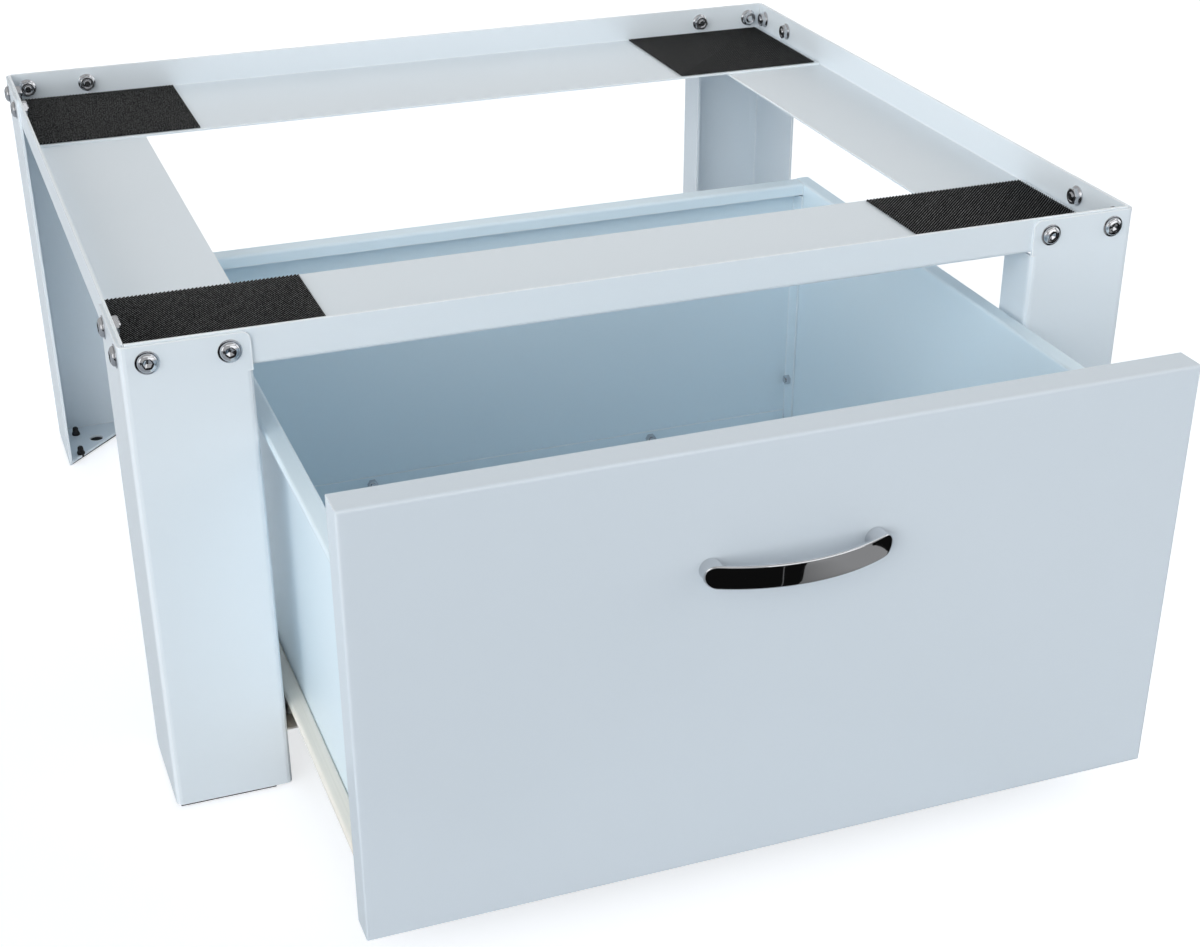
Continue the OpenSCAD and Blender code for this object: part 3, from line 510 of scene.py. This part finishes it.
def flange_nut():
    """Nut along Z: the larger of a flange's cone and a hexagon cut by a chamfer cone, then down its bore.
    Heights and radii are in mm and turned into metres at the end."""
    angle = full_circle(AROUND_HEX)
    six = six_sided(angle)
    height = np.concatenate([[0, 0.15, 0.7, 0.95, 1.2, 1.5, 1.9], np.linspace(2.6, 3.9, 3), np.linspace(4.15, 4.8, 6)])
    flange = np.interp(height, [0, 0.15, 0.7, 1.9, 4.8], [6.35, 6.5, 6.5, 5.0, 4.0])
    cone = 4.75 + (4.8 - height) * 1.8
    outer = np.maximum(flange[:, None], np.minimum(5.0 * six[None, :], cone[:, None]))
    ring = np.ones((1, len(angle)))
    radius = np.concatenate([outer, 3.6 * ring, 3.1 * ring, 3.1 * ring]) * MM
    along = np.concatenate([height, [4.75, 4.4, 0.0]]) * MM
    points = turned_rings(radius, along, angle).reshape(-1, 3)
    return points, grid_quads(len(along), len(angle), joined_rows=True)


screw_points, screw_quads, screw_painted_shade = collar_screw()
make_piece("collar_screws", repeat_at(screw_points, screw_quads, frame_screw_places(0.0)),
           SCREW_PLATING, "stand", ["leg_screws"], 30.0, screw_painted_shade)
nut_points, nut_quads = flange_nut()
inward = [(origin, side, tuple(-value for value in out))
          for origin, side, out in frame_screw_places(LEG_SHEET + RAIL_SHEET)]
make_piece("flange_nuts", repeat_at(nut_points, nut_quads, inward), ZINC, "stand", ["leg_nuts"], 30.0)


# ---------------------------------------------------------------- ribbed top pads
RIB_SHARE, RIB_TOOTH = 0.16, 1.4 * MM


def ribbed_pad(node):
    """Mat of straight ribs along x = y. Across them runs u = (x - y) / sqrt 2, along them v = (x + y) / sqrt 2.
    Each u has a section from edge to edge of the CAD box, whose top lies at low + thickness (1 - share + share
    sin(2 pi u / pitch)), and whose ends are pulled in by tooth (1 - sin(2 pi u / pitch)) / 2."""
    low, high = (np.array(corner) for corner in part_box(node))
    least = 0.05 * MM
    u = np.arange((low[0] - high[1]) * HALF_ROOT + 2 * least, (high[0] - low[1]) * HALF_ROOT - 2 * least,
                  RIB_PITCH / 6)
    wave = np.sin(2 * math.pi * u / RIB_PITCH)
    start = np.maximum(low[0] / HALF_ROOT - u, low[1] / HALF_ROOT + u)
    stop = np.minimum(high[0] / HALF_ROOT - u, high[1] / HALF_ROOT + u)
    middle, pull = (start + stop) / 2, RIB_TOOTH * (1 - wave) / 2
    start, stop = np.minimum(start + pull, middle - least), np.maximum(stop - pull, middle + least)
    foot = np.full(len(u), low[2])
    top = low[2] + (high[2] - low[2]) * (1 - RIB_SHARE + RIB_SHARE * wave)
    corners = [np.stack([(v + u) * HALF_ROOT, (v - u) * HALF_ROOT, z], axis=1)
               for v, z in ((start, foot), (start, top), (stop, top), (stop, foot))]
    last = 4 * (len(u) - 1)
    quads = np.concatenate([grid_quads(len(u), 4), [[3, 2, 1, 0], [last, last + 1, last + 2, last + 3]]])
    make_piece(node.replace("top_pad", "ribbed_mat"), [(np.stack(corners, axis=1).reshape(-1, 3), quads)],
               PAD_RUBBER, "stand", [node], 60.0)


for node in TOP_PAD_NODES:
    ribbed_pad(node)


# ---------------------------------------------------------------- handle
HANDLE_HALF, HANDLE_RISE, HANDLE_THICK = 55 * MM, 14 * MM, 2.6 * MM
HANDLE_HEIGHT, HANDLE_PITCH = 14 * MM, 96 * MM
HANDLE_EDGE, HANDLE_CROWN = 1.05 * MM, 0.12 * MM


def bow_handle():
    """Band: a long oval outline carried over a rounded edge, bent on a circle in X and Y; two turned posts behind."""
    low, high = (np.array(corner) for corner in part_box("handle"))
    bow = (HANDLE_HALF ** 2 + HANDLE_RISE ** 2) / (2 * HANDLE_RISE)
    centre_y, centre_z = low[1] + bow, (low[2] + high[2]) / 2
    half_h = HANDLE_HEIGHT / 2
    straight = HANDLE_HALF - half_h
    run = np.linspace(-straight, straight, 61)
    bend = np.radians(np.linspace(90, -90, 31))[1:-1]
    spine = np.concatenate([run, np.full(29, straight), run[::-1], np.full(29, -straight)])
    out_x = np.concatenate([0 * run, np.cos(bend), 0 * run, -np.cos(bend)])
    out_z = np.concatenate([1 + 0 * run, np.sin(bend), -1 + 0 * run, -np.sin(bend)])
    turn = np.radians(np.linspace(0, 90, 6))
    front = [(half_h * share, HANDLE_CROWN * share ** 2) for share in (0.0, 0.3, 0.6)]
    front += [(half_h - HANDLE_EDGE * (1 - math.sin(a)), HANDLE_CROWN + HANDLE_EDGE * (1 - math.cos(a)))
              for a in turn]
    back = [(reach, HANDLE_THICK - depth) for reach, depth in reversed(front)]
    rows = []
    for reach, depth in front + back:
        x, z = spine + out_x * reach, out_z * reach
        rows.append(np.stack([x, centre_y - np.sqrt((bow - depth) ** 2 - x ** 2), centre_z + z], axis=1))
    surfaces = [(np.concatenate(rows), grid_quads(len(rows), len(spine)))]
    angle = full_circle(AROUND_WHEEL)
    wall = high[1]
    for side in (-1, 1):
        place_x = side * HANDLE_PITCH / 2
        rings = []
        for radius, share in ((0.0, 0.0), (6.2, 0.0), (6.5, 0.03), (6.42, 0.3), (6.3, 0.7), (6.3, 1.0), (0.0, 1.0)):
            x = place_x + radius * MM * np.cos(angle)
            band_y = centre_y - np.sqrt((bow - 0.6 * HANDLE_THICK) ** 2 - x ** 2)
            rings.append(np.stack([x, wall + share * (band_y - wall), centre_z + radius * MM * np.sin(angle)], axis=1))
        surfaces.append((np.concatenate(rings), grid_quads(len(rings), len(angle))))
    make_piece("bow_handle", surfaces, CHROME, "drawer", ["handle"], 40.0)


bow_handle()


# ---------------------------------------------------------------- rollers
def ringed_roller(node):
    """Wheel turned about X between its CAD box's sides: rounded tread, sunk rings on both faces, and a bore."""
    low, high = (np.array(corner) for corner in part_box(node))
    middle, width = (low + high) / 2, (high[0] - low[0]) / MM
    outer, bore = (high[2] - low[2]) / 2 / MM, 2.05
    half = width / 2
    face = [(bore, half), (bore + 2.4, half), (bore + 2.9, half - 0.5), (outer - 2.6, half - 0.5), (outer - 2.1, half)]
    corner = arc_rows((outer - 0.8, half - 0.8), (0.8, 0.8), 90, 0, 5)
    one = face + corner
    other = [(r, -x) for r, x in reversed(one)]
    table = np.array(one + other)
    angle = full_circle(AROUND_WHEEL)
    rings = turned_rings(np.repeat(table[:, :1], AROUND_WHEEL, axis=1) * MM, table[:, 1] * MM, angle)
    points = np.stack([rings[..., 2], rings[..., 0], rings[..., 1]], axis=-1).reshape(-1, 3) + middle
    make_piece(node.replace("roller", "wheel"), [(points, grid_quads(len(table), AROUND_WHEEL, joined_rows=True))],
               NYLON, node, [node], 35.0)


for node in ROLLER_NODES:
    ringed_roller(node)


# ---------------------------------------------------------------- floor, mirror cards, world
FLOOR_COLOUR = (0.50, 0.53, 0.57)
FLOOR_REACH = 12.0
FLOOR_GLOW, FLOOR_BOUNCE = 0.66, 0.04
DARK_ROOM, GREY_NEAR, GREY_FAR, SOFT_BOX = 0.006, 0.18, 0.34, 1.5
HANDLE_FRONT = -0.36
ARC_RADIUS, ARC_MIDDLE = 1.7, -0.3
LOBE_RISE, LOBE_POWER = math.radians(10.0), 5.0
SKY_LOBES = [(90.0, 3.3), (135.0, 2.3), (225.0, 1.75), (315.0, 4.45)]
MIRROR_SKY = 0.5
WORLD_COLOUR = (1.0, 1.0, 0.995)


def stage_strip(name, points, material):
    """Sheet of the studio: a strip of quads between two rows of points."""
    half = len(points) // 2
    mesh = bpy.data.meshes.new(name)
    mesh.from_pydata(points, [], [(i, i + 1, half + i + 1, half + i) for i in range(half - 1)])
    mesh.materials.append(material)
    sheet = bpy.data.objects.new(name, mesh)
    bpy.context.scene.collection.objects.link(sheet)
    return sheet


def make_floor():
    """Large pale floor that shows as white to the camera, but keeps the object's soft shadow."""
    material, tree, output = new_material("pale_floor")
    ray = tree.nodes.new("ShaderNodeLightPath").outputs
    bounce = math_node(tree, "MULTIPLY", ray["Is Diffuse Ray"], FLOOR_BOUNCE)
    power = math_node(tree, "MULTIPLY_ADD", ray["Is Camera Ray"], FLOOR_GLOW, bounce)
    matte = fill(tree, tree.nodes.new("ShaderNodeBsdfPrincipled"),
                 Base_Color=FLOOR_COLOUR, Roughness=0.9, Specular_IOR_Level=0.0)
    glow = fill(tree, tree.nodes.new("ShaderNodeEmission"), Color=(1, 1, 1), Strength=power)
    total = tree.nodes.new("ShaderNodeAddShader")
    feed(tree, matte[0], total.inputs[0])
    feed(tree, glow[0], total.inputs[1])
    feed(tree, total.outputs[0], output.inputs[0])
    stage_strip("floor", [(x, y, 0.0) for y in (-FLOOR_REACH, FLOOR_REACH) for x in (-FLOOR_REACH, FLOOR_REACH)],
                material)


def card_material(name, tone, far_tone):
    """Light of a mirror card: one tone up to x = 0.1 m, the other from x = 0.3 m, and between them a blend."""
    material, tree, output = new_material(name)
    split = fill(tree, tree.nodes.new("ShaderNodeSeparateXYZ"), Vector=object_place(tree))
    blend = mixed(tree, map_range(tree, split["X"], 0.10, 0.30), (tone,) * 3, (far_tone,) * 3)
    feed(tree, fill(tree, tree.nodes.new("ShaderNodeEmission"), Color=blend)[0], output.inputs[0])
    return material


def mirror_card(name, points, material):
    """Strip that only glossy surfaces see."""
    card = stage_strip(name, points, material)
    for hidden in ("visible_camera", "visible_diffuse", "visible_shadow", "visible_transmission"):
        setattr(card, hidden, False)


def round_handle(points, height):
    """Points at a height from (heading in degrees, distance): 0 is ahead of the handle, along -Y, and 90 is +X."""
    return [(distance * math.sin(math.radians(heading)), HANDLE_FRONT - distance * math.cos(math.radians(heading)),
             height) for heading, distance in points]


def make_cards():
    """What mirrors see: a dark room in front, a grey object with a light gap beside it, and four soft boxes."""
    dark = card_material("dark_card", DARK_ROOM, DARK_ROOM)
    grey = card_material("grey_card", GREY_NEAR, GREY_FAR)
    bright = card_material("bright_card", SOFT_BOX, SOFT_BOX)
    room = range(-60, 116, 5)
    near_headings = (18, 40, 60, 66, 69, 74, 79, 84, 88)
    far_edge = [(22, 1.2), (40, 1.2), (60, 1.2), (66, 0.50), (69, 0.47), (74, 0.44), (79, 0.42), (84, 0.40), (88, 0.36)]
    for name, near, far, height, material in (
            ("room_card", [(turn, 0.16) for turn in room], [(turn, 3.0) for turn in room], 1.5 * MM, dark),
            ("streak_card", [(7.6, 0.2), (8.1, 0.2)], [(7.6, 1.6), (8.1, 1.6)], 2 * MM, grey),
            ("object_card", [(turn, 0.16) for turn in near_headings], far_edge, 2 * MM, grey)):
        mirror_card(name, round_handle(near + far, height), material)
    mirror_card("left_card", [(-2.6, -2.2, 0.2), (-2.9, -0.6, 0.2), (-2.6, -2.2, 2.0), (-2.9, -0.6, 2.0)], bright)
    mirror_card("right_card", [(2.8, -1.2, 0.3), (2.8, 0.6, 0.3), (2.8, -1.2, 1.7), (2.8, 0.6, 1.7)], bright)
    for name, first, last, low, high in (("high_card", -40, 100, 1.6, 2.3), ("front_card", 0, 55, 0.35, 1.2)):
        arc = [(ARC_RADIUS * math.sin(math.radians(turn)), ARC_MIDDLE - ARC_RADIUS * math.cos(math.radians(turn)))
               for turn in range(first, last + 1, 5)]
        mirror_card(name, [(x, y, z) for z in (low, high) for x, y in arc], bright)


def sky_lobe(tree, place, heading, strength):
    """Soft light low in the sky: strength times a power of the agreement with a heading a little above level."""
    turn = math.radians(heading)
    ahead = (math.sin(turn) * math.cos(LOBE_RISE), -math.cos(turn) * math.cos(LOBE_RISE), math.sin(LOBE_RISE))
    agree = math_node(tree, "MAXIMUM", vector_node(tree, "DOT_PRODUCT", "Value", place, ahead), 0.0)
    return math_node(tree, "MULTIPLY", math_node(tree, "POWER", agree, LOBE_POWER), strength)


def make_world():
    """Surroundings: soft lobes for surfaces, an even tone in mirrors, and white for the camera."""
    world = bpy.data.worlds.new("surroundings")
    bpy.context.scene.world = world
    world.use_nodes = True
    tree = world.node_tree
    tree.nodes.clear()
    place = tree.nodes.new("ShaderNodeTexCoord").outputs["Generated"]
    total = 0.0
    for heading, strength in SKY_LOBES:
        total = math_node(tree, "ADD", total, sky_lobe(tree, place, heading, strength))
    ray = tree.nodes.new("ShaderNodeLightPath").outputs
    for kind, strength in (("Is Glossy Ray", MIRROR_SKY), ("Is Camera Ray", 1.0)):
        choice = add(tree, "ShaderNodeMix", data_type="FLOAT")
        total = fill(tree, choice, Factor=ray[kind], A=total, B=strength)["Result"]
    sky = fill(tree, tree.nodes.new("ShaderNodeBackground"), Color=WORLD_COLOUR, Strength=total)
    feed(tree, sky[0], tree.nodes.new("ShaderNodeOutputWorld").inputs[0])


make_floor()
make_cards()
make_world()

bpy.context.scene.view_settings.view_transform = "Standard"
